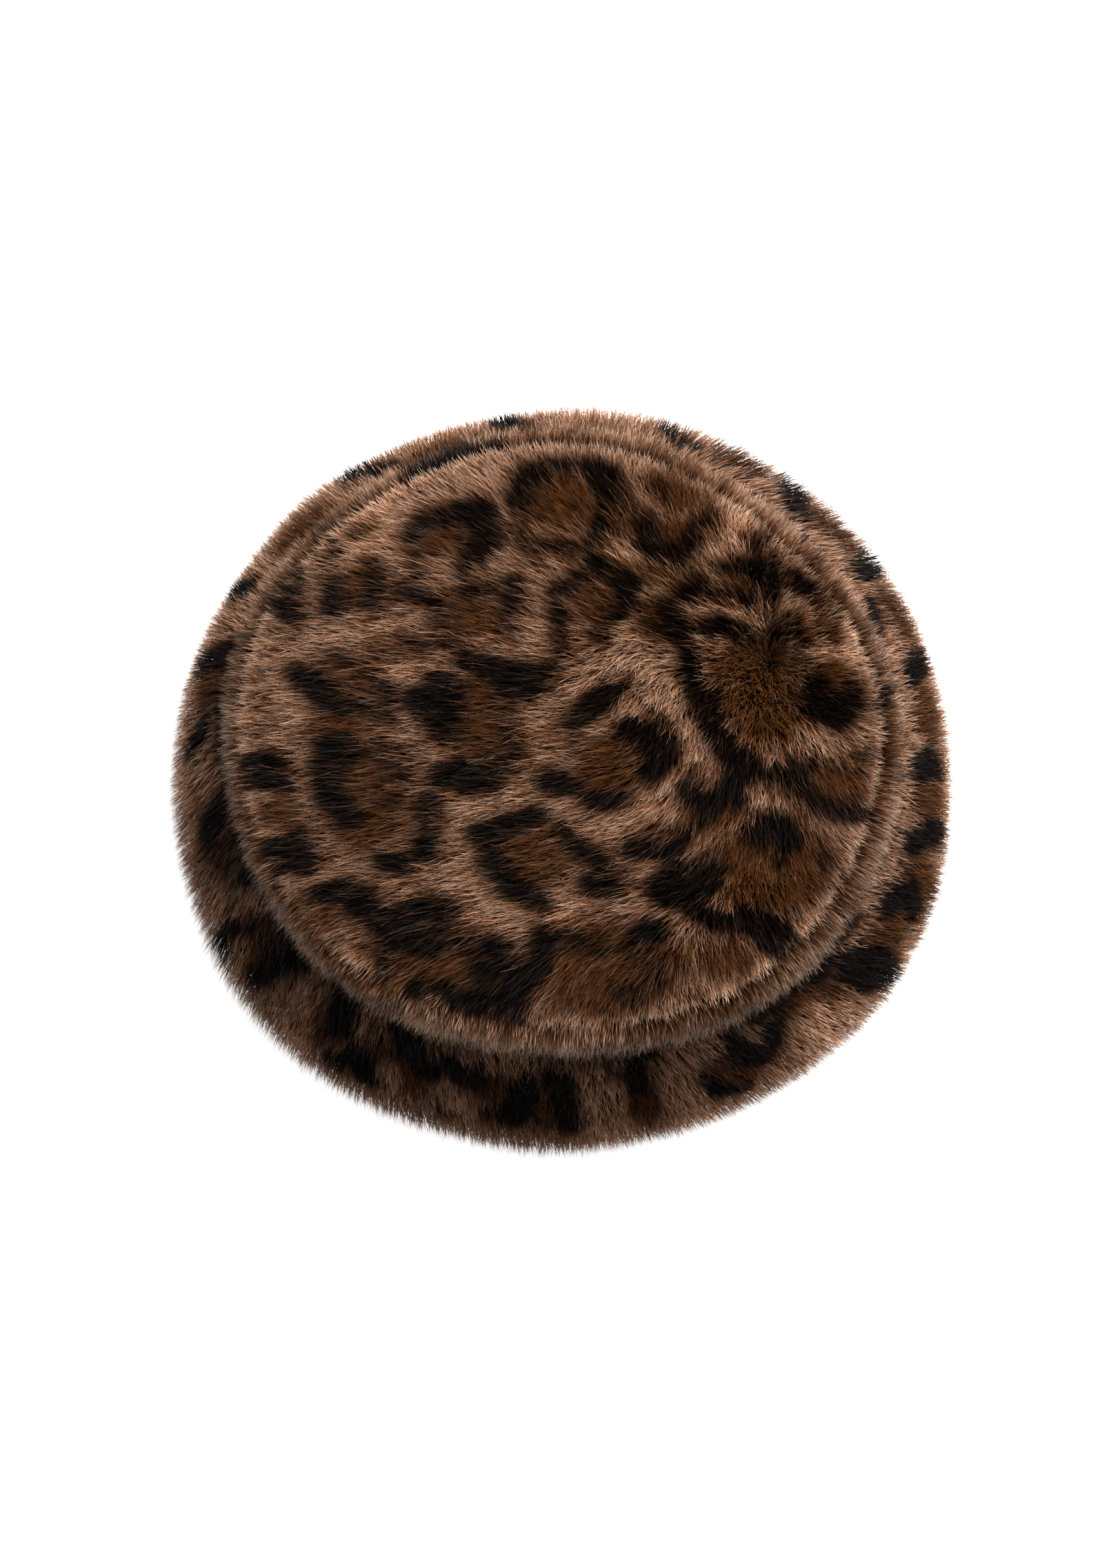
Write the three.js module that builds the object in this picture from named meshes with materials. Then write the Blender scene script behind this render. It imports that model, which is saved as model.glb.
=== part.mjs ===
import * as THREE from 'three';

// A faux fur bucket hat, standing on the edge of its brim.
// It is sewn from three pieces of one long-piled fur cloth: a flat oval tip, an upright side
// band and a sloping brim. Each piece is a hollow wall: the cloth with its pile over it. The
// pile's outer form is laid in rows of pointed locks, each row lapping over the next.
// +X is front to back, +Z is up, and z = 0 is the surface that the brim's edge rests on.

// Driving dimensions, in millimetres
const TIP_SEAM_HEIGHT = 124;
const CLOTH = 2.5;

// How many locks go round a wall, and how far each row laps over the next, as a share of a row
const LOCKS_ROUND = 52;
const LAP = 0.24;

// The oval that the cloth's outer face follows, in rows from the seam over it down. Half length
// is along X, half width along Y, turn is how far the oval has twisted, in degrees, and slack is
// its share of the waves below. Out and up are where the combed pile's surface stands from it.
const BAND_ROWS = [
  { height: 123.7, halfLength: 97.0, halfWidth: 88.0, turn: -9, slack: 1, out: 6.8, up: 0 },
  { height: 111, halfLength: 99.6, halfWidth: 90.8, turn: -8, slack: 1, out: 9.2, up: 1.4 },
  { height: 97, halfLength: 100.8, halfWidth: 92.0, turn: -7, slack: 1, out: 9.6, up: 0.5 },
  { height: 82, halfLength: 100.8, halfWidth: 92.0, turn: -5, slack: 0.9, out: 9.6, up: 0 },
  { height: 67, halfLength: 100.2, halfWidth: 91.2, turn: -3, slack: 0.7, out: 9.0, up: 0 },
  { height: 52, halfLength: 99.5, halfWidth: 90.5, turn: 0, slack: 0.4, out: 7.6, up: 0 },
];
const BRIM_ROWS = [
  { height: 51.7, halfLength: 99.5, halfWidth: 90.5, turn: 0, slack: 0.4, out: 4.5, up: 0 },
  { height: 42, halfLength: 105.5, halfWidth: 96.7, turn: 0, slack: 0.4, out: 7.2, up: 4.2 },
  { height: 32, halfLength: 111.8, halfWidth: 103.3, turn: 0, slack: 0.3, out: 7.8, up: 4.6 },
  { height: 22, halfLength: 118.2, halfWidth: 110.2, turn: 0, slack: 0.3, out: 7.8, up: 4.6 },
  { height: 12.5, halfLength: 124.4, halfWidth: 117.0, turn: 0, slack: 0.3, out: 8.0, up: 3.0 },
  { height: 6, halfLength: 128.6, halfWidth: 121.8, turn: 0, slack: 0.3, out: 8.2, up: -2.2 },
];

// The soft pieces are a little out of true: waves round the oval, how far each one moves the
// wall in or out, and where its first crest is, in degrees.
const SLACK = [
  { waves: 3, amount: 0.7, crest: -20 },
  { waves: 5, amount: 0.9, crest: 22 },
];

// How high a lock is at its root and at its point, as a share of the pile's depth, and how far
// it laps over the next row, as a share of the lap: at its middle and in the gap beside it
const LOCK = {
  middle: { root: 0.8, point: 1.15, lap: 1.0 },
  gap: { root: 0.62, point: 0.86, lap: 0.25 },
};
const UNEVEN = { point: 0.05, lap: 0.25 };

// The brim's fur turns under the cloth's edge. Reach is how far outside that edge it lies.
const EDGE_FOLD = [
  { reach: 5.2, height: 0 },
  { reach: -4.5, height: 0 },
  { reach: -4.5, height: 5.5 },
];

// The tip's pile: how far its edge stands out over the seam and up, how much its middle domes
// up, and how squarely the pile turns down at the edge
const TIP_PILE = { depth: 8, edgeOut: 6.8, edgeUp: 2.2, dome: 5, shoulder: 7 };

// The tip's rows of locks, which are combed across it towards -X. Edge lap and edge tuck keep
// the lines of one row clear of the next at the rim.
const TIP_LOCKS = { rows: 12, across: 13, edgeLap: -0.12, edgeTuck: 0.06 };

// The underside of the tip, inwards from its edge: how far outside the cloth's oval, at what
// share of its size, and how high over the seam
const TIP_UNDERSIDE = [
  { reach: 5.3, share: 1, rise: 0 },
  { reach: -CLOTH, share: 1, rise: 0 },
  { reach: -CLOTH, share: 0.62, rise: 2.6 },
];
const CEILING_RISE = 4;

const FUR_COLOUR = { tip: '#6b4c36', band: '#6f5140', brim: '#5c412e' };

const radians = THREE.MathUtils.degToRad;
const mix = THREE.MathUtils.lerp;

// A steady value from -1 to 1 for each lock, so that no two beside each other are alike
function unevenness(row, column) {
  const wave = Math.sin(row * 12.9898 + column * 78.233) * 43758.5453;
  return (wave - Math.floor(wave)) * 2 - 1;
}

// Locks of one row lie over the gaps of the next
function lockAt(row, column) {
  return (column + row) % 2 === 0 ? LOCK.middle : LOCK.gap;
}

// A row of a table at a place between rows
function between(rows, place) {
  const first = Math.min(Math.floor(place), rows.length - 2);
  const section = {};
  for (const [size, from] of Object.entries(rows[first])) {
    section[size] = mix(from, rows[first + 1][size], place - first);
  }
  return section;
}

// The point of an oval section at an angle round the hat, moved outwards by a reach
function onOval(section, angle, reach) {
  const { halfLength, halfWidth } = section;
  const point = new THREE.Vector2(halfLength * Math.cos(angle), halfWidth * Math.sin(angle));
  const outward = new THREE.Vector2(Math.cos(angle) / halfLength, Math.sin(angle) / halfWidth);
  let slack = 0;
  for (const wave of SLACK) {
    slack += wave.amount * Math.cos(wave.waves * (angle - radians(wave.crest)));
  }
  point.addScaledVector(outward.normalize(), section.slack * slack + reach);
  return point.rotateAround(new THREE.Vector2(0, 0), radians(section.turn));
}

// A ring of points, one for each column round a wall
function ring(pointAt) {
  return Array.from({ length: 2 * LOCKS_ROUND }, (_, column) => pointAt(column));
}

function columnPoint(section, column, reach, height) {
  const angle = (column / (2 * LOCKS_ROUND)) * 2 * Math.PI;
  const flat = onOval(section, angle, reach);
  return new THREE.Vector3(flat.x, flat.y, height);
}

// A point over the cloth at a place between rows, at a share of the pile's depth
function pilePoint(rows, place, column, share) {
  const section = between(rows, place);
  return columnPoint(section, column, section.out * share, section.height + section.up * share);
}

// Rows of locks over a wall: each row goes from its roots, tucked under the row above, down to
// its points, which lap over the next row.
function lockRings(rows) {
  const rings = [];
  const lastRow = rows.length - 2;
  for (let row = 0; row <= lastRow; row += 1) {
    rings.push(ring((column) => pilePoint(rows, row, column, lockAt(row, column).root)));
    rings.push(ring((column) => {
      const lock = lockAt(row, column);
      const uneven = unevenness(row, column);
      const lap = row === lastRow ? 0 : LAP * (lock.lap + UNEVEN.lap * uneven);
      return pilePoint(rows, row + 1 + lap, column, lock.point + UNEVEN.point * uneven);
    }));
  }
  return rings;
}

// The inner face of the cloth, at a place between rows
function innerRing(rows, place) {
  const section = between(rows, place);
  return ring((column) => columnPoint(section, column, -CLOTH, section.height));
}

// Collects points and triangles, and turns them into a geometry
class Skin {
  constructor() {
    this.points = [];
    this.triangles = [];
  }

  addLine(points) {
    const first = this.points.length;
    this.points.push(...points);
    return points.map((_, index) => first + index);
  }

  // Two triangles between a pair of points on one line and the pair on the next. Where the cut
  // runs turns from one column to the next, so that each lock has two like flanks.
  addCell(from, to, column, next, turned) {
    const [a, b, c, d] = [from[column], to[column], to[next], from[next]];
    if ((column + turned) % 2 === 0) {
      this.triangles.push([a, b, d], [d, b, c]);
    } else {
      this.triangles.push([a, b, c], [a, c, d]);
    }
  }

  joinRings(from, to, turned) {
    for (let column = 0; column < from.length; column += 1) {
      this.addCell(from, to, column, (column + 1) % from.length, turned);
    }
  }

  joinLines(from, to, turned) {
    for (let column = 0; column < from.length - 1; column += 1) {
      this.addCell(from, to, column, column + 1, turned);
    }
  }

  closeOver(loop, point) {
    const [middle] = this.addLine([point]);
    loop.forEach((index, place) => {
      this.triangles.push([index, middle, loop[(place + 1) % loop.length]]);
    });
  }

  geometry() {
    const positions = this.points.flatMap((point) => point.toArray());
    const shared = new THREE.BufferGeometry();
    shared.setAttribute('position', new THREE.Float32BufferAttribute(positions, 3));
    shared.setIndex(this.triangles.flat());
    const faceted = shared.toNonIndexed();
    faceted.computeVertexNormals();
    return faceted;
  }
}

// A wall that runs all the way round: outer rings from the top down, then inner rings back up
function wallGeometry(rings) {
  const skin = new Skin();
  const loops = rings.map((points) => skin.addLine(points));
  loops.forEach((loop, index) => {
    skin.joinRings(loop, loops[(index + 1) % loops.length], Math.floor(index / 2));
  });
  return skin.geometry();
}

function bandGeometry() {
  const lastRow = BAND_ROWS.length - 1;
  return wallGeometry([
    ...lockRings(BAND_ROWS),
    innerRing(BAND_ROWS, lastRow),
    innerRing(BAND_ROWS, lastRow / 2),
    innerRing(BAND_ROWS, 0),
  ]);
}

function brimGeometry() {
  const edge = BRIM_ROWS[BRIM_ROWS.length - 1];
  return wallGeometry([
    ...lockRings(BRIM_ROWS),
    ...EDGE_FOLD.map(({ reach, height }) => ring(
      (column) => columnPoint(edge, column, reach, height),
    )),
    innerRing(BRIM_ROWS, 0),
  ]);
}

// A point of the tip's pile. Along and across are its place on a square grid that is laid over
// the round tip, so that rows run straight across the hat, and share is how much of the pile's
// depth it stands at.
function tipPoint(along, across, share) {
  const disc = new THREE.Vector2(
    along * Math.sqrt(1 - (across * across) / 2),
    across * Math.sqrt(1 - (along * along) / 2),
  );
  const fromMiddle = Math.min(disc.length(), 1);
  const flat = onOval(BAND_ROWS[0], disc.angle(), TIP_PILE.edgeOut).multiplyScalar(fromMiddle);
  const dome = TIP_PILE.dome * (1 - fromMiddle ** 2);
  const rise = CLOTH + TIP_PILE.depth * share + dome - TIP_PILE.edgeUp;
  const roundedRise = rise * Math.sqrt(1 - fromMiddle ** TIP_PILE.shoulder);
  return new THREE.Vector3(flat.x, flat.y, TIP_SEAM_HEIGHT + TIP_PILE.edgeUp + roundedRise);
}

// The tip's rows of locks, as a root line and a point line for each row
function tipLines() {
  const lines = [];
  const columns = 2 * TIP_LOCKS.across;
  const lastRow = TIP_LOCKS.rows - 1;
  const rowLength = 2 / TIP_LOCKS.rows;
  for (let row = 0; row <= lastRow; row += 1) {
    const start = 1 - row * rowLength;
    const roots = [];
    const points = [];
    for (let column = 0; column <= columns; column += 1) {
      const across = 1 - (2 * column) / columns;
      const inside = 1 - across ** 4;
      const lock = lockAt(row, column);
      const uneven = unevenness(row, column);
      const tuck = row === 0 ? 0 : mix(TIP_LOCKS.edgeTuck, 0, inside);
      const lap = mix(TIP_LOCKS.edgeLap, LAP * (lock.lap + UNEVEN.lap * uneven), inside);
      const end = row === lastRow ? -1 : start - (1 + lap) * rowLength;
      roots.push(tipPoint(start - tuck * rowLength, across, lock.root));
      points.push(tipPoint(end, across, lock.point + UNEVEN.point * uneven));
    }
    lines.push(roots, points);
  }
  return lines;
}

function tipGeometry() {
  const skin = new Skin();
  const lines = tipLines().map((points) => skin.addLine(points));
  for (let line = 0; line < lines.length - 1; line += 1) {
    skin.joinLines(lines[line], lines[line + 1], Math.floor(line / 2));
  }

  // The ends of the lines, in order round the edge
  const innerLines = lines.slice(1, -1);
  const edge = [
    ...innerLines.map((line) => line[0]),
    ...lines[lines.length - 1],
    ...innerLines.map((line) => line[line.length - 1]).reverse(),
    ...[...lines[0]].reverse(),
  ];
  const edgePoints = edge.map((index) => skin.points[index]);
  let outer = edge;
  for (const [index, { reach, share, rise }] of TIP_UNDERSIDE.entries()) {
    const inner = skin.addLine(edgePoints.map((point) => {
      const flat = new THREE.Vector2(point.x, point.y);
      flat.setLength((flat.length() - TIP_PILE.edgeOut + reach) * share);
      return new THREE.Vector3(flat.x, flat.y, TIP_SEAM_HEIGHT + rise);
    }));
    skin.joinRings(outer, inner, index);
    outer = inner;
  }
  skin.closeOver(outer, new THREE.Vector3(0, 0, TIP_SEAM_HEIGHT + CEILING_RISE));
  return skin.geometry();
}

function furPiece(name, geometry, colour) {
  const fur = new THREE.MeshStandardMaterial({ color: colour, roughness: 0.75, metalness: 0 });
  const mesh = new THREE.Mesh(geometry, fur);
  mesh.name = name;
  return mesh;
}

const hat = new THREE.Group();
hat.add(furPiece('crown_tip', tipGeometry(), FUR_COLOUR.tip));
hat.add(furPiece('crown_band', bandGeometry(), FUR_COLOUR.band));
hat.add(furPiece('brim', brimGeometry(), FUR_COLOUR.brim));

export default hat;
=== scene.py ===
import math
import bpy
import numpy as np
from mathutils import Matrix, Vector


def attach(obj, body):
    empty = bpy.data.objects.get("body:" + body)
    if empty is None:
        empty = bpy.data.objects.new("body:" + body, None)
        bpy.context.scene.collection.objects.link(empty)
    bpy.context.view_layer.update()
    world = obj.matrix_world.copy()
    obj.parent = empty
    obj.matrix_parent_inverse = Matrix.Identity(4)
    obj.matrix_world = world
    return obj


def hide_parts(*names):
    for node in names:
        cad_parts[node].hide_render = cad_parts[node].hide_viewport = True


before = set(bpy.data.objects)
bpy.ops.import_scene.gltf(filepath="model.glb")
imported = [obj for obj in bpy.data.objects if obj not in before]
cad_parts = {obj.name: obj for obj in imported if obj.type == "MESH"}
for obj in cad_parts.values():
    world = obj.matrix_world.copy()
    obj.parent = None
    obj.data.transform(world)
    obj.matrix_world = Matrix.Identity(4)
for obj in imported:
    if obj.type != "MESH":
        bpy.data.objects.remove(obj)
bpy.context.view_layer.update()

# The crown's tip: its cloth
# The oval top of the crown is one cut piece of faux fur cloth. Its knitted backing is 2.5 mm
# thick, domes up a little in the middle and is sewn to the side band along its edge.

# Sizes are in millimetres, and become metres as each mesh is made.
METRES = 0.001
CLOTH = 2.5
TIP_SEAM_HEIGHT = 124.0
TIP_DOME = 5.0
TIP_SHOULDER = 7.0
# From the tip's middle to its seam, over the cloth and on average
TIP_REACH = 92
# How high the underside stands over the seam, from the middle of the tip to its edge
CEILING_SHARES = [0.0, 0.62, 1.0]
CEILING_RISES = [4.0, 2.6, 0.0]
# Columns of points round each shell of cloth, and how far the knit's map runs round it
ROUND = 100
KNIT_ROUND = 620.0

# The side band's oval from the tip's seam down: height, half length along X, half width along Y,
# twist in degrees, and share of the waves below
BAND_ROWS = np.array([
    (123.7, 97.0, 88.0, -9, 1.0),
    (111.0, 99.6, 90.8, -8, 1.0),
    (97.0, 100.8, 92.0, -7, 1.0),
    (82.0, 100.8, 92.0, -5, 0.9),
    (67.0, 100.2, 91.2, -3, 0.7),
    (52.0, 99.5, 90.5, 0, 0.4),
])
# The soft cloth is a little out of true: waves round the oval, how far each one moves the wall,
# and where its first crest is, in degrees
SLACK = [(3, 0.7, -20), (5, 0.9, 22)]


def oval_point(rows, place, angle, reach):
    """Points on a wall at places between its rows, moved level outwards by a reach."""
    height, length, width, turn, slack = (
        np.interp(place, np.arange(len(rows)), column) for column in rows.T
    )
    wave = sum(size * np.cos(n * (angle - math.radians(crest))) for n, size, crest in SLACK)
    across_x, across_y = np.cos(angle) / length, np.sin(angle) / width
    away = (slack * wave + reach) / np.hypot(across_x, across_y)
    x = length * np.cos(angle) + across_x * away
    y = width * np.sin(angle) + across_y * away
    cosine, sine = np.cos(np.radians(turn)), np.sin(np.radians(turn))
    return np.stack([cosine * x - sine * y, sine * x + cosine * y, height + 0 * x], axis=-1)


def ring_mesh(name, rings, ends):
    """A mesh of rings of points, from the first to the last. Its ends are open, joined to each
    other, or closed by one point each."""
    count, columns = rings.shape[:2]
    points = rings.reshape(-1, 3)
    first = np.arange(count if ends == "joined" else count - 1)[:, None] * columns
    after = (first + columns) % (count * columns)
    here = np.arange(columns)[None, :]
    there = (here + 1) % columns
    cells = np.stack([first + here, after + here, after + there, first + there], axis=-1)
    faces = cells.reshape(-1, 4).tolist()
    if ends == "poles":
        last = (count - 1) * columns
        points = np.vstack([points, rings[0].mean(0), rings[-1].mean(0)])
        first_faces = np.stack([here[0], there[0]], axis=-1).tolist()
        faces += [face + [len(points) - 2] for face in first_faces]
        last_faces = np.stack([last + there[0], last + here[0]], axis=-1).tolist()
        faces += [face + [len(points) - 1] for face in last_faces]
    mesh = bpy.data.meshes.new(name)
    mesh.from_pydata((points * METRES).tolist(), [], faces)
    mesh.update()
    return mesh


def tip_points(share, angle, edge_reach):
    """Points on the top of the tip's cloth, at a share of the way from its middle to its edge."""
    points = oval_point(BAND_ROWS, 0.0, angle, edge_reach) * share[..., None]
    rise = (CLOTH + TIP_DOME * (1 - share**2)) * np.sqrt(1 - share**TIP_SHOULDER)
    points[..., 2] = TIP_SEAM_HEIGHT + rise
    return points


def angles_round(columns):
    return np.linspace(0, 2 * math.pi, columns, endpoint=False)[None, :]


# The arithmetic that the trees of nodes do most
MATH = "ShaderNodeMath"
VECTOR_MATH = "ShaderNodeVectorMath"
TIMES = {"operation": "MULTIPLY"}
TIMES_PLUS = {"operation": "MULTIPLY_ADD"}
PLUS = {"operation": "ADD"}
SCALE = {"operation": "SCALE"}


def add_node(tree, kind, settings, links, output=0):
    """Adds a node, gives it its settings, and gives each input a value or another's output. It
    returns the node's first output, the one that is asked for, or with None the node."""
    new = tree.nodes.new(kind)
    for name, value in settings.items():
        setattr(new, name, value)
    for name, source in links.items():
        if isinstance(source, bpy.types.NodeSocket):
            tree.links.new(source, new.inputs[name])
        else:
            new.inputs[name].default_value = source
    return new if output is None else new.outputs[output]


def linear(colour):
    """A linear colour from an sRGB hex one."""
    shares = [int(colour[place : place + 2], 16) / 255 for place in (1, 3, 5)]
    return [s / 12.92 if s <= 0.04045 else ((s + 0.055) / 1.055) ** 2.4 for s in shares] + [1.0]


# Warp-knitted polyester backing, brushed and heat-set: matt, with fine upright ribs of stitches
# about 1.2 mm apart and 1 mm high, drawn from the piece's own cloth map in metres
RIB_PITCH = 0.0012
STITCH_HEIGHT = 0.0010
backing = bpy.data.materials.new("warp knitted polyester backing")
backing.use_nodes = True
tree = backing.node_tree
tree.nodes.clear()
cloth_map = add_node(tree, "ShaderNodeUVMap", {"uv_map": "cloth"}, {})
ribs = add_node(
    tree, "ShaderNodeTexWave", {},
    {"Vector": cloth_map, "Scale": math.pi / (10 * RIB_PITCH), "Distortion": 0.4}, "Fac",
)
stitches = add_node(
    tree, "ShaderNodeTexWave", {"bands_direction": "Y"},
    {"Vector": cloth_map, "Scale": math.pi / (10 * STITCH_HEIGHT), "Distortion": 0.6}, "Fac",
)
knit = add_node(tree, MATH, TIMES, {0: ribs, 1: stitches})
blotches = add_node(
    tree, "ShaderNodeTexNoise", {}, {"Vector": cloth_map, "Scale": 60.0, "Detail": 3.0}
)
yarn = add_node(
    tree, "ShaderNodeMix", {"data_type": "RGBA"},
    {0: knit, 6: linear("#1f150f"), 7: linear("#4a3527")}, 2,
)
worn = add_node(
    tree, "ShaderNodeMapRange", {},
    {"Value": blotches, "From Min": 0.3, "From Max": 0.7, "To Min": 0.85, "To Max": 1.15},
)
toned = add_node(tree, "ShaderNodeHueSaturation", {}, {"Color": yarn, "Value": worn})
stitch_relief = add_node(
    tree, "ShaderNodeBump", {}, {"Height": knit, "Strength": 0.5, "Distance": 0.0003}
)
surface = add_node(
    tree, "ShaderNodeBsdfPrincipled", {},
    {
        "Base Color": toned,
        "Roughness": 0.85,
        "Specular IOR Level": 0.3,
        "Sheen Weight": 0.15,
        "Normal": stitch_relief,
    },
)
add_node(tree, "ShaderNodeOutputMaterial", {}, {"Surface": surface}, None)


def add_object(name, data):
    """Puts an object with its mesh, lamp or camera into the scene."""
    new = bpy.data.objects.new(name, data)
    bpy.context.scene.collection.objects.link(new)
    return new


def add_backing(name, rings, ends, along, node):
    """A closed shell of the knitted cloth, with a map in metres round it and along it."""
    mesh = ring_mesh(name, rings, ends)
    around = np.linspace(0, KNIT_ROUND * METRES, rings.shape[1], endpoint=False)
    places = np.stack(np.meshgrid(np.array(along) * METRES, around, indexing="ij")[::-1], axis=-1)
    places = np.vstack([places.reshape(-1, 2), [[0, along[0] * METRES], [0, along[-1] * METRES]]])
    corners = np.empty(len(mesh.loops), dtype=np.int32)
    mesh.loops.foreach_get("vertex_index", corners)
    layer = mesh.uv_layers.new(name="cloth")
    layer.uv.foreach_set("vector", places[corners].astype(np.float32).ravel())
    mesh.materials.append(backing)
    mesh.shade_smooth()
    piece = add_object(name, mesh)
    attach(piece, "root")
    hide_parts(node)


angles = angles_round(ROUND)
top_shares = np.sqrt(np.linspace(0.0004, 1, 34))[:, None]
top_rings = tip_points(top_shares, angles, 0.0)
under_shares = np.linspace(0.99, 0.02, 30)[:, None]
under_rings = oval_point(BAND_ROWS, 0.0, angles, 0.0) * under_shares[..., None]
under_rings[..., 2] = TIP_SEAM_HEIGHT + np.interp(under_shares, CEILING_SHARES, CEILING_RISES)
tip_rings = np.vstack([top_rings, under_rings])
tip_along = np.concatenate([top_shares[:, 0], 2 - under_shares[:, 0]]) * TIP_REACH
add_backing("crown_tip_backing", tip_rings, "poles", tip_along, "crown_tip")


# The crown's tip: its fur
# Modacrylic pile about 12 mm long, combed flat towards -X over most of the tip. On the right it
# stands up in three whorls and falls away from them, and at the edge it turns out over the seam.

# Leopard rosettes, charted on the tip in millimetres: each mark is a stroke through
# points, with its width at each one
TIP_BLACK = [
    [(-14, 78, 7), (-10, 85, 8), (-3, 88, 6), (5, 89, 3)],
    [(9, 88, 6), (14, 84, 10), (17, 78, 10), (14, 70, 9), (12, 65, 5)],
    [(-48, 65, 5), (-43, 70, 6), (-34, 73, 6), (-27, 73, 9), (-24, 67, 10),
     (-28, 59, 7), (-31, 54, 4)],
    [(-85, 53, 7), (-88, 45, 9), (-85, 40, 5)], [(-72, 50, 6), (-72, 43, 7)],
    [(-60, 55, 7), (-59, 45, 7)], [(-15, 49, 6), (-17, 41, 6)],
    [(10, 57, 5), (15, 54, 6), (21, 49, 7), (19, 42, 5)], [(6, 53, 4), (-1, 47, 5), (-2, 41, 3)],
    [(26, 70, 6), (26, 64, 7), (32, 60, 6), (39, 62, 6), (44, 69, 7), (47, 72, 5)],
    [(62, 65, 4), (68, 69, 5)], [(49, 55, 2), (57, 57, 3), (64, 54, 6), (65, 50, 6), (65, 46, 3)],
    [(73, 54, 3), (79, 48, 5), (84, 41, 6), (86, 34, 4)], [(49, 46, 4), (58, 46, 4)],
    [(31, 43, 4), (34, 39, 6), (37, 35, 7)], [(36, 45, 5), (42, 50, 5)],
    [(46, 36, 5), (50, 37, 5), (55, 34, 5)],
    [(40, 28, 6), (42, 20, 8), (45, 13, 10), (48, 4, 7), (53, -4, 9), (60, -9, 7)],
    [(62, -10, 4), (71, -10, 5), (78, -7, 5)],
    [(78, 19, 5), (79, 12, 8), (86, 9, 7), (92, 13, 6), (92, 18, 4)],
    [(79, -19, 4), (87, -22, 5), (97, -21, 4)], [(40, -15, 8), (46, -19, 9)],
    [(53, -15, 8), (54, -18, 6)], [(23, -33, 7), (29, -31, 9), (35, -31, 8), (33, -36, 5)],
    [(60, -27, 6), (67, -26, 9), (71, -31, 8)], [(32, -46, 10), (40, -44, 15), (46, -41, 10)],
    [(40, -51, 5), (46, -54, 6), (53, -57, 6), (60, -55, 8), (66, -60, 11), (72, -62, 5)],
    [(-26, -29, 6), (-18, -27, 6), (-8, -23, 5)], [(-1, -28, 4), (5, -33, 5), (11, -37, 6)],
    [(8, -45, 5), (13, -43, 8), (17, -46, 5)],
    [(-24, -31, 5), (-21, -38, 7), (-16, -45, 7), (-6, -50, 5)], [(-42, -19, 6), (-42, -34, 7)],
    [(-73, -1, 7), (-68, -2, 9)], [(-75, -8, 8), (-72, -17, 10), (-67, -24, 7)],
    [(-56, -37, 5), (-49, -38, 7)], [(-99, -6, 6), (-90, -6, 6)], [(-97, -11, 6), (-88, -11, 6)],
    [(-94, -32, 6), (-86, -34, 10), (-80, -36, 9), (-82, -29, 5)],
    [(-82, 22, 7), (-75, 16, 9), (-70, 12, 6)], [(-45, 13, 8), (-39, 11, 13), (-34, 13, 7)],
    [(-39, 18, 8), (-35, 18, 6)], [(-39, 5, 8), (-34, 4, 6)], [(-31, 26, 5), (-22, 23, 7)],
    [(-18, 20, 10), (-9, 19, 11), (-4, 22, 5)], [(-38, -10, 7), (-31, -11, 9), (-22, -12, 7)],
    [(3, 6, 6), (8, 10, 7), (15, 15, 5), (19, 18, 3)],
    [(20, 3, 7), (28, 3, 9), (31, -3, 10), (28, -9, 8)], [(-5, -12, 6), (3, -14, 6)],
    [(9, -19, 5), (18, -18, 5)], [(-76, -47, 4), (-68, -46, 6), (-61, -48, 6)],
    [(-64, -51, 6), (-57, -55, 8), (-49, -60, 9), (-41, -63, 8)],
    [(-50, -53, 5), (-42, -52, 7), (-35, -53, 6)], [(-36, -58, 6), (-28, -62, 9), (-21, -66, 11)],
    [(-23, -72, 10), (-16, -76, 14), (-19, -82, 14)],
    [(-46, -77, 7), (-38, -81, 13), (-27, -84, 13)],
    [(-50, -81, 7), (-41, -87, 11), (-28, -90, 9)], [(-6, -61, 7), (-8, -71, 7)],
    [(22, -60, 5), (30, -59, 6)], [(18, -98, 4), (23, -100, 4)],
]
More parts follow.
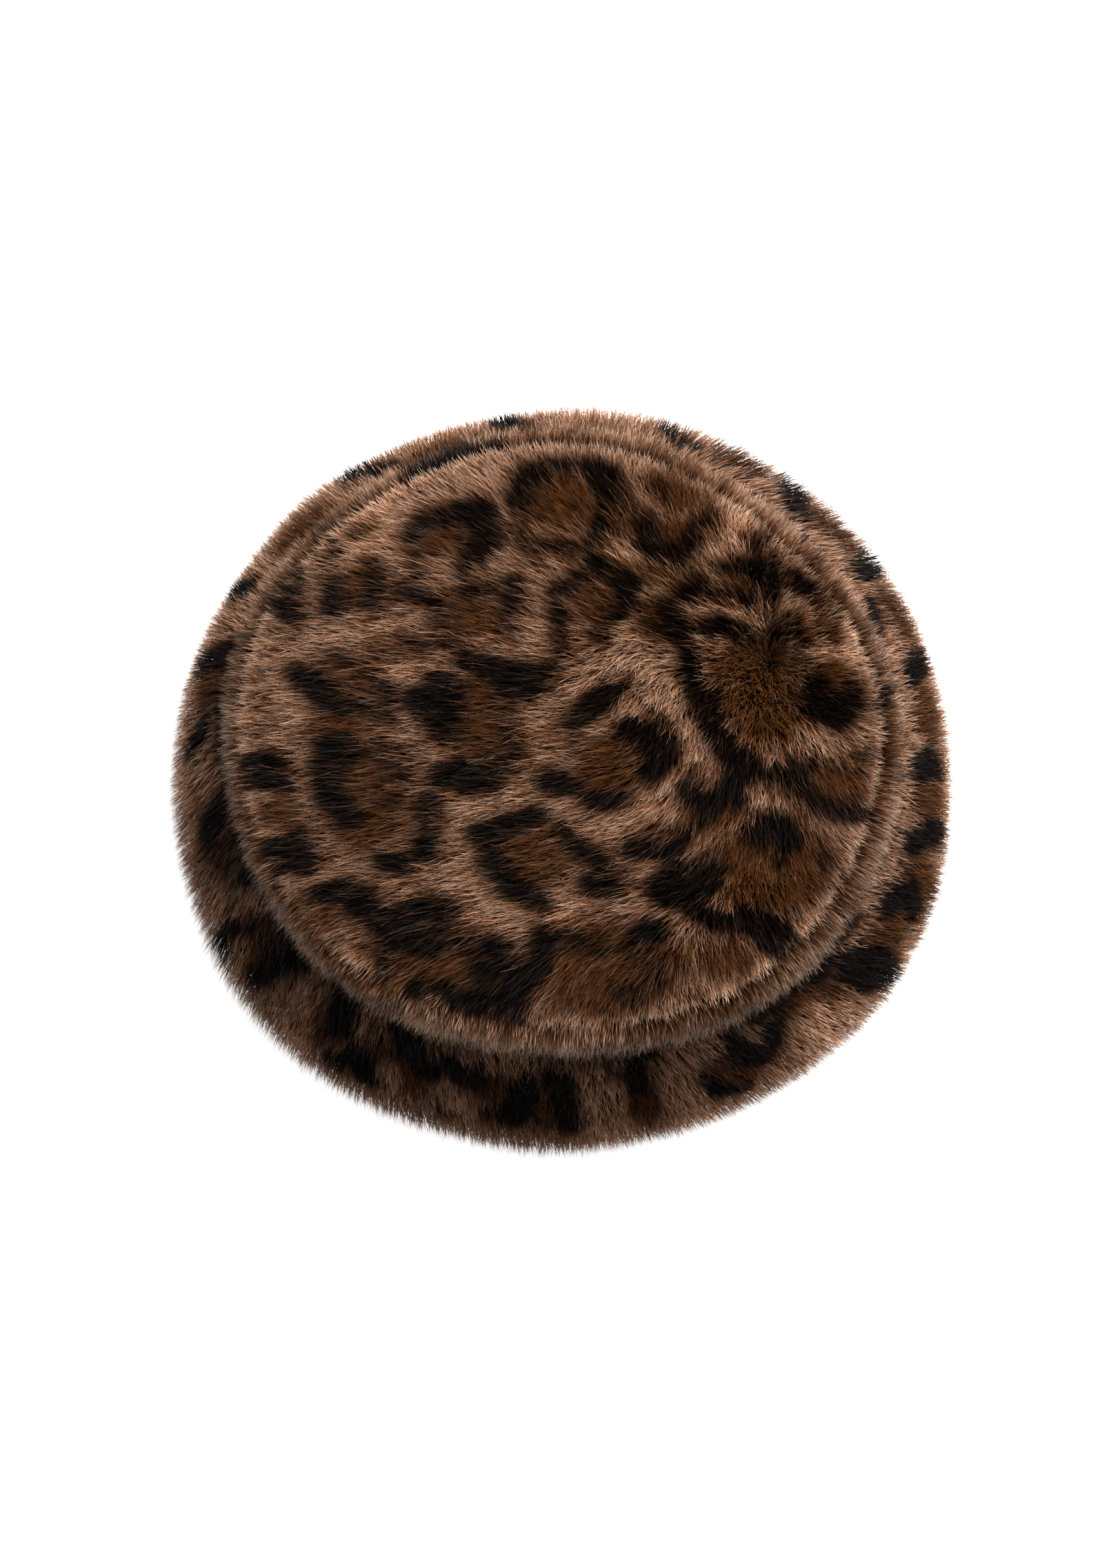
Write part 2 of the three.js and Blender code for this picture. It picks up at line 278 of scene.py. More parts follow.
TIP_FAINT = [
    [(68, 35, 4), (73, 37, 6), (76, 32, 5)], [(-14, 64, 4), (-6, 62, 4), (9, 63, 3)],
    [(-14, 74, 5), (-12, 69, 4)], [(-47, 61, 4), (-45, 54, 4)], [(-70, 66, 4), (-62, 69, 4)],
    [(-76, 57, 3), (-72, 63, 3)], [(-70, 43, 4), (-61, 42, 4)], [(-50, 48, 4), (-41, 46, 4)],
    [(-39, 42, 5), (-38, 33, 6), (-32, 31, 4)], [(-32, 47, 3), (-22, 49, 4)],
    [(-17, 37, 5), (-20, 32, 4)], [(-1, 38, 4), (0, 28, 4)], [(16, 41, 4), (10, 33, 4)],
    [(30, 82, 4), (34, 80, 4)], [(63, 63, 5), (65, 58, 5)], [(26, 37, 4), (32, 34, 4)],
    [(88, 8, 7), (84, 18, 5)], [(95, -4, 5), (98, -3, 5)], [(99, 13, 3), (101, 11, 3)],
    [(71, -13, 6), (79, -18, 6)], [(46, -23, 6), (42, -26, 5)], [(83, -36, 5), (86, -44, 5)],
    [(57, -30, 5), (62, -34, 5)], [(67, -35, 5), (68, -40, 4)],
    [(-60, -2, 6), (-52, -6, 8), (-54, -18, 7)], [(-60, 30, 5), (-52, 28, 5)],
    [(-72, 27, 4), (-64, 26, 4)], [(-62, 24, 7), (-56, 14, 7)], [(-50, 32, 4), (-44, 30, 4)],
    [(-64, 14, 6), (-57, 9, 6)], [(-20, 13, 7), (-17, 6, 9), (-15, -2, 8)],
    [(-27, -7, 5), (-15, -6, 6)], [(-57, -63, 5), (-55, -69, 5)], [(-45, -84, 4), (-51, -87, 4)],
    [(1, -61, 7), (11, -64, 7)], [(20, -64, 5), (27, -69, 6), (31, -75, 6)],
    [(40, -80, 4), (47, -79, 3)], [(20, -88, 4), (25, -91, 4)],
    [(16, -77, 6), (24, -81, 6), (27, -86, 5)],
]
# The brown inside the rosettes: middle, half sizes along X and Y
TIP_BROWN = [
    (0, 76, 12, 10), (-36, 65, 9, 7), (-66, 48, 7, 8), (-28, 40, 10, 8), (11, 45, 8, 8),
    (35, 66, 8, 6), (55, 51, 6, 4), (78, 50, 6, 5), (32, 40, 8, 8), (62, 16, 17, 20),
    (86, 17, 8, 10), (86, -13, 12, 11), (48, -21, 12, 7), (66, -38, 24, 18), (-9, -37, 13, 11),
    (-61, -17, 17, 19), (-92, -9, 9, 6), (-88, -22, 8, 6), (-68, 20, 14, 10), (-27, 7, 12, 16),
    (15, -8, 13, 11), (-38, -72, 22, 13), (-80, -52, 12, 8), (14, -71, 28, 18), (50, -68, 12, 7),
    (-70, 2, 12, 12), (28, 52, 8, 4), (38, 82, 14, 9), (84, 50, 8, 8),
]
# Where the ground between the rosettes is palest, in the same way
TIP_PALE = [
    (-57, 64, 11, 15), (-54, 80, 12, 6), (22, 62, 5, 13), (56, 66, 11, 10), (62, 42, 8, 5),
    (82, 37, 10, 12), (-46, 27, 9, 7), (-12, 34, 4, 6), (0, 2, 7, 8), (-20, -56, 9, 6),
    (34, -24, 6, 4), (62, 20, 12, 12), (42, -75, 9, 5), (8, -52, 8, 5),
]
# Where the combing changes, from the lie of the hairs: place on the tip, the direction
# of combing in degrees from +X, and how far the pile stands up, in hundredths
TIP_COMBING = [
    (-95, 0, 180, 5), (-95, 30, 176, 5), (-95, -30, 184, 5), (-80, 52, 170, 5), (-82, -52, 188, 5),
    (-60, 75, 160, 5), (-62, -70, 192, 5), (-70, 15, 180, 0), (-70, -22, 181, 0), (-40, 0, 180, 0),
    (-42, 38, 175, 0), (-40, -38, 184, 0), (-45, 68, 160, 5), (-22, 88, 138, 10),
    (-25, 60, 156, 5), (-10, 20, 173, 5), (-10, -20, 183, 0), (-12, -50, 186, 0),
    (-32, -76, 202, 10), (-52, -84, 215, 10), (-22, -90, 235, 15), (0, 62, 144, 10),
    (0, 88, 112, 15), (20, 88, 96, 20), (-4, 40, 158, 5), (12, 44, 150, 10), (16, 62, 134, 15),
    (26, 72, 124, 20), (32, 88, 80, 25), (2, 2, 178, 5), (20, -2, 180, 10), (20, -30, 188, 5),
    (10, -50, 188, 5), (32, -46, 186, 10), (24, 24, 225, 50), (34, 14, 250, 50), (38, 0, 262, 30),
    (40, -12, 240, 20), (28, -17, 210, 10), (38, 34, 160, 25), (24, -62, 208, 15),
    (8, -74, 232, 20), (0, -90, 240, 20), (28, -84, 282, 20), (44, -74, 290, 20),
    (62, -68, 294, 15), (80, -54, 306, 10), (96, -40, 325, 10), (92, -26, 322, 10),
    (102, 0, 350, 10), (100, 25, 5, 10), (92, 45, 18, 10), (78, 65, 40, 15), (58, 78, 62, 20),
    (44, 84, 72, 20), (50, -20, 250, 15), (62, -18, 268, 20), (82, -12, 300, 10),
    (48, -64, 292, 20), (45, 58, 120, 25),
]
# Middles of the whorls that the pile falls away from, and how wide each one is
TIP_WHORLS = [(64, 53, 13), (62, 18, 15), (62, -43, 14)]


def across_from(u, middle, turn):
    """How far across each place lies from a middle. A turn is how far it is once round."""
    return (u - middle + turn / 2) % turn - turn / 2 if turn else u - middle


def marks_at(u, v, marks, turn=0, spread=1.9, blur=5.0):
    """How deep in a mark each place is, from 0 outside to 1."""
    found = np.zeros(np.broadcast(u, v).shape)
    for mark in marks:
        for (u0, v0, w0), (u1, v1, w1) in zip(mark, mark[1:]):
            across = across_from(u, u0, turn)
            share = (across * (u1 - u0) + (v - v0) * (v1 - v0)) / ((u1 - u0) ** 2 + (v1 - v0) ** 2)
            share = np.clip(share, 0, 1)
            gap = np.hypot(across - share * (u1 - u0), v - v0 - share * (v1 - v0))
            found = np.maximum(found, 0.5 + (w0 + share * (w1 - w0) + spread - 2 * gap) / blur)
    return np.clip(found, 0, 1)


def patches_at(u, v, patches, turn=0):
    """How deep inside a brown or pale patch each place is, from 0 outside to 1."""
    found = np.zeros(np.broadcast(u, v).shape)
    for u0, v0, half_u, half_v in patches:
        across = across_from(u, u0, turn)
        found = np.maximum(found, 1.9 - 1.4 * np.hypot(across / half_u, (v - v0) / half_v))
    return np.clip(found, 0, 1)


def along_surface(direction, normals):
    """The part of a direction that lies along the surface, at full length."""
    direction = direction - (direction * normals).sum(-1, keepdims=True) * normals
    return direction / np.linalg.norm(direction, axis=-1, keepdims=True)


def seeds(name, rings, attributes):
    """An open sheet at the roots of the pile, which carries the print and the combing."""
    mesh = ring_mesh(name, rings, "open")
    for key, values in attributes.items():
        kind, slot = ("FLOAT_VECTOR", "vector") if values.ndim == 3 else ("FLOAT", "value")
        attribute = mesh.attributes.new(key, kind, "POINT")
        attribute.data.foreach_set(slot, values.astype(np.float32).ravel())
    return mesh


def ring_normals(rings):
    """Outward normals of rings of points, which run on from one ring to the next."""
    round_it = np.roll(rings, -1, axis=1) - np.roll(rings, 1, axis=1)
    down_it = np.gradient(rings, axis=0)
    normals = np.cross(down_it, round_it)
    return normals / np.linalg.norm(normals, axis=-1, keepdims=True)


def strand_shape(name, profile):
    """One hair lying along +X with its root at 0, as a flat strip that narrows to its tip. The
    profile gives how far along, how high and how wide it is, for a hair of length 1."""
    points, faces = [], []
    for along, height, width in profile[:-1]:
        points += [(along, -width / 2, height), (along, width / 2, height)]
    points.append((profile[-1][0], 0, profile[-1][1]))
    for step in range(len(profile) - 2):
        first = 2 * step
        faces += [(first, first + 2, first + 3), (first, first + 3, first + 1)]
    faces.append((len(points) - 3, len(points) - 1, len(points) - 2))
    mesh = bpy.data.meshes.new(name)
    mesh.from_pydata(points, [], faces)
    shares = np.repeat(np.linspace(0, 1, len(profile)), 2)[: len(points)]
    sides = np.append(np.tile([-1.0, 1.0], len(profile) - 1), 0.0)
    for key, values in (("along", shares), ("across", sides)):
        attribute = mesh.attributes.new(key, "FLOAT", "POINT")
        attribute.data.foreach_set("value", values.astype(np.float32))
    mesh.shade_smooth()
    return bpy.data.objects.new(name, mesh)


PILE_PROFILE = [(0, 0, 1), (0.27, 0.33, 1), (0.62, 0.46, 0.75), (0.98, 0.52, 0)]
GUARD_PROFILE = [(0, 0, 1), (0.22, 0.33, 1), (0.6, 0.5, 0.8), (1.0, 0.56, 0)]
pile_strand = strand_shape("pile_strand", PILE_PROFILE)
guard_hair = strand_shape("guard_hair", GUARD_PROFILE)

# Hairs are scattered over the root sheet, turned to the combing, drawn into wisps, kept above
# the floor and printed
combed_pile = bpy.data.node_groups.new("combed pile", "GeometryNodeTree")
PILE_INPUTS = {
    "Geometry": ["Roots"],
    "Object": ["Hair"],
    "Float": [
        "Hairs per square metre", "Hair length", "Hair width", "Shortest share", "Wisps per metre",
        "Wisp draw", "Wisp pull", "Stray", "Slip", "Lean", "Dark share", "Map cells",
    ],
    "Int": ["Seed"],
    "Material": ["Fur"],
}
for kind, names in PILE_INPUTS.items():
    for name in names:
        combed_pile.interface.new_socket(name=name, in_out="INPUT", socket_type="NodeSocket" + kind)
combed_pile.interface.new_socket(name="Pile", in_out="OUTPUT", socket_type="NodeSocketGeometry")
tree = combed_pile
given = add_node(tree, "NodeGroupInput", {}, {}, None).outputs
position = add_node(tree, "GeometryNodeInputPosition", {}, {})
# What is used up as the hairs are made, and what the fur's material reads as well
WORKING = ["nap", "stand", "grown", "thick", "even", "pale", "root", "rank", "across", "edge"]
KINDS = {"nap": "FLOAT_VECTOR", "root": "FLOAT_VECTOR", "rank": "INT"}
read = {}
for key in WORKING + ["along", "ink", "core"]:
    kind = {"data_type": KINDS.get(key, "FLOAT")}
    read[key] = add_node(tree, "GeometryNodeInputNamedAttribute", kind, {"Name": key})
density = add_node(tree, MATH, TIMES, {0: read["thick"], 1: given["Hairs per square metre"]})
scattered = add_node(
    tree, "GeometryNodeDistributePointsOnFaces", {},
    {"Mesh": given["Roots"], "Density": density, "Seed": given["Seed"]}, None,
)
# How far each thing differs from hair to hair, in shares and radians
SPREADS = {
    "size": (given["Shortest share"], 1.2), "yaw": (-0.24, 0.24), "roll": (-1.0, 1.0),
    "edge": (-1.0, 1.0), "tone": (0.0, 1.0), "lean": (-1.0, 1.0),
}
FIRST_SEED = 11
chance = {}
for place, (key, (low, high)) in enumerate(SPREADS.items()):
    chance[key] = add_node(
        tree, "FunctionNodeRandomValue", {}, {2: low, 3: high, "Seed": FIRST_SEED + place}, 1
    )
# Hairs are paler or darker in wisps about 2 mm wide and one by one, least where the pile is even
WISP_TONES = 520.0
wisp_tone = add_node(
    tree, "ShaderNodeTexNoise", {}, {"Vector": position, "Scale": WISP_TONES, "Detail": 1.0}
)
tone = add_node(
    tree, "ShaderNodeMapRange", {}, {"Value": wisp_tone, "From Min": 0.33, "From Max": 0.67}
)
tone = add_node(tree, "ShaderNodeMix", {}, {0: 0.6, 2: tone, 3: chance["tone"]})
evened = add_node(tree, MATH, TIMES, {0: read["even"], 1: 0.7})
tone = add_node(tree, "ShaderNodeMix", {}, {0: evened, 2: tone, 3: 0.5})
# Hairs are paler where the pale value is high: pale print, and painted light and shade as well
tone = add_node(tree, MATH, TIMES_PLUS, {0: read["pale"], 1: 0.35, 2: tone})
# Wisps about 4 mm wide, and single hairs, carry the edge of a mark further or less far
WISP_WIDTHS = 260.0
wisp_edge = add_node(
    tree, "ShaderNodeTexNoise", {}, {"Vector": position, "Scale": WISP_WIDTHS, "Detail": 1.0}
)
wisp_edge = add_node(tree, MATH, TIMES_PLUS, {0: wisp_edge, 1: 4.0, 2: -2.0})
chance["edge"] = add_node(tree, MATH, TIMES_PLUS, {0: chance["edge"], 1: 0.5, 2: wisp_edge})
# Hairs lie along the combing, rise from it as far as they stand, and turn a little by chance
FULL_RISE = math.radians(52)
ROLL_AXIS = (0.87, 0, 0.49)
looser = add_node(tree, MATH, TIMES_PLUS, {0: read["stand"], 1: 1.6, 2: 1.0})
chance["yaw"] = add_node(tree, MATH, TIMES, {0: chance["yaw"], 1: looser})
turned = add_node(
    tree, "FunctionNodeAxesToRotation", {"primary_axis": "Z", "secondary_axis": "X"},
    {"Primary Axis": scattered.outputs["Normal"], "Secondary Axis": read["nap"]},
)
raised = add_node(tree, MATH, TIMES, {0: read["stand"], 1: -FULL_RISE})
raised = add_node(tree, MATH, TIMES_PLUS, {0: chance["lean"], 1: given["Lean"], 2: raised})
for axis, angle in (((0, 0, 1), chance["yaw"]), ((0, 1, 0), raised), (ROLL_AXIS, chance["roll"])):
    by = add_node(tree, "FunctionNodeAxisAngleToRotation", {}, {"Axis": axis, "Angle": angle})
    turned = add_node(
        tree, "FunctionNodeRotateRotation", {"rotation_space": "LOCAL"},
        {"Rotation": turned, "Rotate By": by},
    )
long = add_node(tree, MATH, TIMES, {0: given["Hair length"], 1: chance["size"]})
long = add_node(tree, MATH, TIMES, {0: long, 1: read["grown"]})
rank = add_node(tree, "GeometryNodeInputIndex", {}, {})
held = scattered.outputs["Points"]
for key, value in {"root": position, "shade": tone, "edge": chance["edge"], "rank": rank}.items():
    held = add_node(
        tree, "GeometryNodeStoreNamedAttribute", {"data_type": KINDS.get(key, "FLOAT")},
        {"Geometry": held, "Name": key, "Value": value},
    )
size = add_node(tree, "ShaderNodeCombineXYZ", {}, {"X": long, "Y": given["Hair width"], "Z": long})
one_hair = add_node(tree, "GeometryNodeObjectInfo", {}, {"Object": given["Hair"]}, "Geometry")
hairs = add_node(
    tree, "GeometryNodeInstanceOnPoints", {},
    {"Points": held, "Instance": one_hair, "Rotation": turned, "Scale": size},
)
made = add_node(tree, "GeometryNodeRealizeInstances", {}, {"Geometry": hairs})
# Towards its tip each hair is drawn in to the middle of its wisp, and drifts with the wisp and
# by itself
bend = add_node(tree, MATH, {"operation": "POWER"}, {0: read["along"], 1: 1.5})
cells = add_node(
    tree, "ShaderNodeTexVoronoi", {},
    {"Vector": read["root"], "Scale": given["Wisps per metre"]}, "Position",
)
inward = add_node(tree, VECTOR_MATH, {"operation": "SUBTRACT"}, {0: cells, 1: read["root"]})
drawn = add_node(
    tree, MATH, {"operation": "SUBTRACT", "use_clamp": True}, {0: 1.0, 1: read["even"]}
)
bend = add_node(tree, MATH, TIMES, {0: bend, 1: drawn})
pulls = [(inward, given["Wisp draw"])]
STRAYS = 1500.0
for pull, scale in (("Wisp pull", WISP_WIDTHS), ("Stray", STRAYS)):
    drift = add_node(
        tree, "ShaderNodeTexNoise", {},
        {"Vector": read["root"], "Scale": scale, "Detail": 0.0}, "Color",
    )
    centred = add_node(tree, VECTOR_MATH, {"operation": "SUBTRACT"}, {0: drift, 1: (0.5, 0.5, 0.5)})
    pulls.append((centred, given[pull]))
there = position
for way, share in pulls:
    amount = add_node(tree, MATH, TIMES, {0: bend, 1: share})
    move = add_node(tree, VECTOR_MATH, SCALE, {0: way, "Scale": amount})
    there = add_node(tree, VECTOR_MATH, PLUS, {0: there, 1: move})
FLOOR_GAP = 0.0003
parts = add_node(tree, "ShaderNodeSeparateXYZ", {}, {"Vector": there}, None).outputs
above = add_node(tree, MATH, {"operation": "MAXIMUM"}, {0: parts["Z"], 1: FLOOR_GAP})
placed = add_node(tree, "ShaderNodeCombineXYZ", {}, {"X": parts["X"], "Y": parts["Y"], "Z": above})
made = add_node(tree, "GeometryNodeSetPosition", {}, {"Geometry": made, "Position": placed})
# The print is laid on the combed pile, so each part of a hair takes it from where it lies. A
# hair that has slipped along the combing carries its own edge of a mark with it.
slip = add_node(tree, MATH, TIMES, {0: read["edge"], 1: given["Slip"]})
slip = add_node(tree, VECTOR_MATH, SCALE, {0: read["nap"], "Scale": slip})
there = add_node(tree, VECTOR_MATH, PLUS, {0: position, 1: slip})
RAGGED = 0.35  # how far hairs and wisps shift the edge of a mark
for key, low, high in (("ink", 0.25, 0.7), ("core", 0.1, 0.9)):
    found = add_node(
        tree, "GeometryNodeSampleNearestSurface", {},
        {"Mesh": given["Roots"], "Value": read[key], "Sample Position": there},
    )
    ragged = add_node(tree, MATH, TIMES_PLUS, {0: read["edge"], 1: RAGGED, 2: found})
    share = add_node(
        tree, "ShaderNodeMapRange", {"interpolation_type": "SMOOTHSTEP"},
        {"Value": ragged, "From Min": low, "From Max": high},
    )
    if key == "ink":
        share = add_node(tree, MATH, TIMES, {0: share, 1: given["Dark share"]})
    made = add_node(
        tree, "GeometryNodeStoreNamedAttribute", {}, {"Geometry": made, "Name": key, "Value": share}
    )
# Each hair has a cell of its own on the OFBake map, where it lies along one side
column = add_node(tree, MATH, {"operation": "MODULO"}, {0: read["rank"], 1: given["Map cells"]})
line = add_node(tree, MATH, {"operation": "DIVIDE"}, {0: read["rank"], 1: given["Map cells"]})
line = add_node(tree, MATH, {"operation": "FLOOR"}, {0: line})
cell = {}
for axis, base, value, share, start in (
    ("X", column, read["across"], 0.38, 0.5),
    ("Y", line, read["along"], 0.8, 0.1),
):
    inside = add_node(tree, MATH, TIMES_PLUS, {0: value, 1: share, 2: start})
    total = add_node(tree, MATH, PLUS, {0: base, 1: inside})
    cell[axis] = add_node(tree, MATH, {"operation": "DIVIDE"}, {0: total, 1: given["Map cells"]})
flat = add_node(tree, "ShaderNodeCombineXYZ", {}, cell)
made = add_node(
    tree, "GeometryNodeStoreNamedAttribute", {"data_type": "FLOAT2", "domain": "CORNER"},
    {"Geometry": made, "Name": "OFBake", "Value": flat},
)
# Even pile hides its roots, so its hairs are seen further towards their frosted tips
hidden = add_node(tree, MATH, TIMES, {0: read["even"], 1: 0.25})
frosted = add_node(tree, "ShaderNodeMix", {}, {0: hidden, 2: read["along"], 3: 1.0})
made = add_node(
    tree, "GeometryNodeStoreNamedAttribute", {},
    {"Geometry": made, "Name": "along", "Value": frosted},
)
for key in WORKING:
    made = add_node(tree, "GeometryNodeRemoveAttribute", {}, {"Geometry": made, "Name": key})
made = add_node(tree, "GeometryNodeSetMaterial", {}, {"Geometry": made, "Material": given["Fur"]})
add_node(tree, "NodeGroupOutput", {}, {"Pile": made}, None)

# Modacrylic pile, heat-set and printed after knitting: soft gloss along each hair, roots darker
# than the frosted tips. The near-black roots are partly painted shade deep in the pile, and the
# lightest tips of the ground and the black partly a painted highlight. Colours run from the root
# to the tip of a hair.
PRINT_AND_PAINTED_LIGHT_COLOURS = {
    "ground": [(0.0, "#0a0401"), (0.4, "#2f1608"), (0.75, "#7c5339"), (1.0, "#d1b39b")],
    "brown": [(0.0, "#050201"), (0.45, "#1a0b03"), (0.8, "#3f220e"), (1.0, "#714823")],
    "black": [(0.0, "#010000"), (0.5, "#020101"), (0.85, "#050201"), (1.0, "#1b120c")],
}
fur = bpy.data.materials.new("printed modacrylic fur pile")
fur.use_nodes = True
tree = fur.node_tree
tree.nodes.clear()
carried = {
    key: add_node(tree, "ShaderNodeAttribute", {"attribute_name": key}, {}, "Fac")
    for key in ("along", "ink", "core", "shade")
}
tones = {}
for key, stops in PRINT_AND_PAINTED_LIGHT_COLOURS.items():
    ramp = add_node(tree, "ShaderNodeValToRGB", {}, {"Fac": carried["along"]}, None)
    while len(ramp.color_ramp.elements) < len(stops):
        ramp.color_ramp.elements.new(0.5)
    for element, (place, colour) in zip(ramp.color_ramp.elements, stops):
        element.position = place
        element.color = linear(colour)
    tones[key] = ramp.outputs["Color"]
rosette = add_node(
    tree, "ShaderNodeMix", {"data_type": "RGBA"},
    {0: carried["core"], 6: tones["ground"], 7: tones["brown"]}, 2,
)
# A few of the palest hairs take little of the black dye
escaped = add_node(
    tree, "ShaderNodeMapRange", {},
    {"Value": carried["shade"], "From Min": 0.76, "From Max": 0.92, "To Min": 1.0, "To Max": 0.3},
)
dye = add_node(tree, MATH, TIMES, {0: carried["ink"], 1: escaped})
printed = add_node(
    tree, "ShaderNodeMix", {"data_type": "RGBA"}, {0: dye, 6: rosette, 7: tones["black"]}, 2
)
lighter = add_node(
    tree, "ShaderNodeMapRange", {}, {"Value": carried["shade"], "To Min": 0.2, "To Max": 1.9}
)
dyed = add_node(tree, "ShaderNodeHueSaturation", {}, {"Color": printed, "Value": lighter})
gloss = add_node(
    tree, "ShaderNodeMapRange", {}, {"Value": carried["ink"], "To Min": 0.34, "To Max": 0.5}
)
surface = add_node(
    tree, "ShaderNodeBsdfPrincipled", {},
    {"Base Color": dyed, "Roughness": gloss, "Specular IOR Level": 0.05},
)
add_node(tree, "ShaderNodeOutputMaterial", {}, {"Surface": surface}, None)


def grow_pile(name, roots, node, inputs):
    """Grows hairs from a root sheet, and keeps them as a plain mesh."""
    piece = add_object(name, roots)
    growing = piece.modifiers.new("combed pile", "NODES")
    growing.node_group = combed_pile
    keys = {item.name: item.identifier for item in combed_pile.interface.items_tree}
    for key, value in inputs.items():
        growing[keys[key]] = value
    growing[keys["Fur"]] = fur
    bpy.context.view_layer.update()
    graph = bpy.context.evaluated_depsgraph_get()
    grown = bpy.data.meshes.new_from_object(piece.evaluated_get(graph), depsgraph=graph)
    piece.modifiers.clear()
    piece.data = grown
    grown.name = name
    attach(piece, "root")
    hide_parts(node)


angles = angles_round(360)
shares = np.sqrt(np.linspace(0.0001, 0.9995, 90))[:, None]
roots = tip_points(shares, angles, 0.0)
normals = ring_normals(roots)
# The chart is drawn on the cloth before the seam draws it in, and pulls it towards -Y
DRAWN_IN = 0.984
PULLED = 3.3
x, y = roots[..., 0] / DRAWN_IN, (roots[..., 1] + PULLED) / DRAWN_IN
combing = np.zeros(x.shape + (2,))
stand = np.zeros(x.shape)
total = np.zeros(x.shape)
for place_x, place_y, direction, up in TIP_COMBING:
    weight = 1 / (((x - place_x) ** 2 + (y - place_y) ** 2) / 100 + 0.15) ** 2
    direction = math.radians(direction)
    combing += weight[..., None] * (math.cos(direction), math.sin(direction))
    stand += weight * (up / 100)
    total += weight
combing /= total[..., None]
# Where hairs of different directions meet, they prop each other up
stand = np.maximum(stand / total, 1 - np.linalg.norm(combing, axis=-1))
for middle_x, middle_y, width in TIP_WHORLS:
    away = np.stack([x - middle_x, y - middle_y], axis=-1)
    distance = np.hypot(away[..., 0], away[..., 1])
    weight = 0.2 * np.exp(-((distance / width) ** 2))
    combing += weight[..., None] * away / (distance[..., None] + 1.0)
    stand += 0.6 * np.exp(-((distance / (0.8 * width)) ** 2))
# Over the last 10 mm the pile turns straight out over the seam
outward = roots[..., :2] / (np.linalg.norm(roots[..., :2], axis=-1, keepdims=True) + 1e-9)
turning = np.clip((shares - 0.9) / 0.1, 0, 1)[..., None]
combing = combing / np.linalg.norm(combing, axis=-1, keepdims=True)
combing = combing * (1 - 0.75 * turning) + 0.75 * turning * outward
nap = along_surface(np.concatenate([combing, np.zeros(x.shape + (1,))], axis=-1), normals)
ink = np.maximum(marks_at(x, y, TIP_BLACK), 0.58 * marks_at(x, y, TIP_FAINT))
# A brown shadow of the dye runs round each black mark
shadow = 0.8 * marks_at(x, y, TIP_BLACK + TIP_FAINT, spread=6.5, blur=12.0)
brown = np.maximum(patches_at(x, y, TIP_BROWN), shadow)
# Painted shade on the side away from the light: the brown is a little deeper all over the left,
# and deepest along the lower left edge
from_seam = (1 - shares) * TIP_REACH + 0 * x
lower_left = 0.5 - 0.5 * np.cos(angles - math.radians(50))
# The last 3 mm, which the seam turns up into the light, get a painted highlight: paler, with
# less brown and black, least at the lower left
ridge_highlight = (1 - 0.45 * lower_left**2) * np.clip(1.3 - from_seam / 3, 0, 1)
# Painted shade over the left and along the lower left edge
brown = np.maximum(brown, 0.24 * np.clip(0.5 - x / 60, 0, 1))
brown = np.maximum(brown, 0.7 * lower_left * np.clip(1.3 - from_seam / 10, 0, 1))
# Painted highlight on the seam's ridge: less brown
brown = brown * (1 - 0.45 * ridge_highlight)
# Towards the seam the pile is sewn down and shows shorter, least along the lower left edge
grown = 0.54 + 0.18 * lower_left**2
grown = grown + (1 - grown) * np.clip(from_seam / 15, 0, 1)
# Pile that stands up at a whorl or the seam is thick and even, with no wisps
stand = np.clip(np.maximum(stand, 0.9 * ridge_highlight), 0, 0.95)
even = np.maximum(0.6 * stand, np.clip(1.2 - from_seam / 4, 0, 1.2))
tip_print = dict(
    nap=nap,
    stand=stand,
    grown=grown * (1 - 0.25 * stand),
    thick=np.ones(x.shape),
    even=even,
    # The ridge's painted highlight also makes its hairs paler and its black fainter
    pale=0.9 * patches_at(x, y, TIP_PALE) + 0.15 * ridge_highlight,
    ink=ink * (1 - 0.3 * ridge_highlight),
    core=brown,
)
TIP_PILE = {
    "Hair": pile_strand,
    "Hairs per square metre": 1.42e6,
    "Hair width": 0.00026,
    "Shortest share": 0.6,
    "Wisps per metre": 540.0,
    "Wisp draw": 0.6,
    "Wisp pull": 0.005,
    "Stray": 0.0045,
    "Slip": 0.0018,
    "Lean": 0.16,
    "Dark share": 1.0,
    "Map cells": 204.0,
}
for name, length, seed in (("crown_tip_fur", 0.0118, 4), ("crown_tip_underfur", 0.0106, 7)):
    settings = {**TIP_PILE, "Hair length": length, "Seed": seed}
    grow_pile(name, seeds(name + "_roots", roots, tip_print), "crown_tip", settings)
TIP_GUARD_HAIR = {
    **TIP_PILE,
    "Hair": guard_hair,
    "Hairs per square metre": 0.8e6,
    "Hair length": 0.0130,
    "Hair width": 0.00016,
    "Wisp pull": 0.006,
    "Stray": 0.0055,
    "Slip": 0.0035,
    "Lean": 0.2,
    "Dark share": 0.95,
    "Map cells": 180.0,
    "Seed": 9,
}
roots_mesh = seeds("tip_guard_roots", roots, tip_print)
grow_pile("crown_tip_guard_hair", roots_mesh, "crown_tip", TIP_GUARD_HAIR)


# The crown's side band
# One upright strip of the same fur cloth, 72 mm high, sewn to the tip's edge above and to the
# brim below. Its pile stands straight out at the tip's seam and lies down lower on.

# Length round the band at its fullest and down it from row to row, the rosettes round it, and
# how far down they are
BAND_ROUND = 620.0
BAND_ROW = 14.3
BAND_ROSETTES = 15
ROSETTE_ROWS = (27, 55)

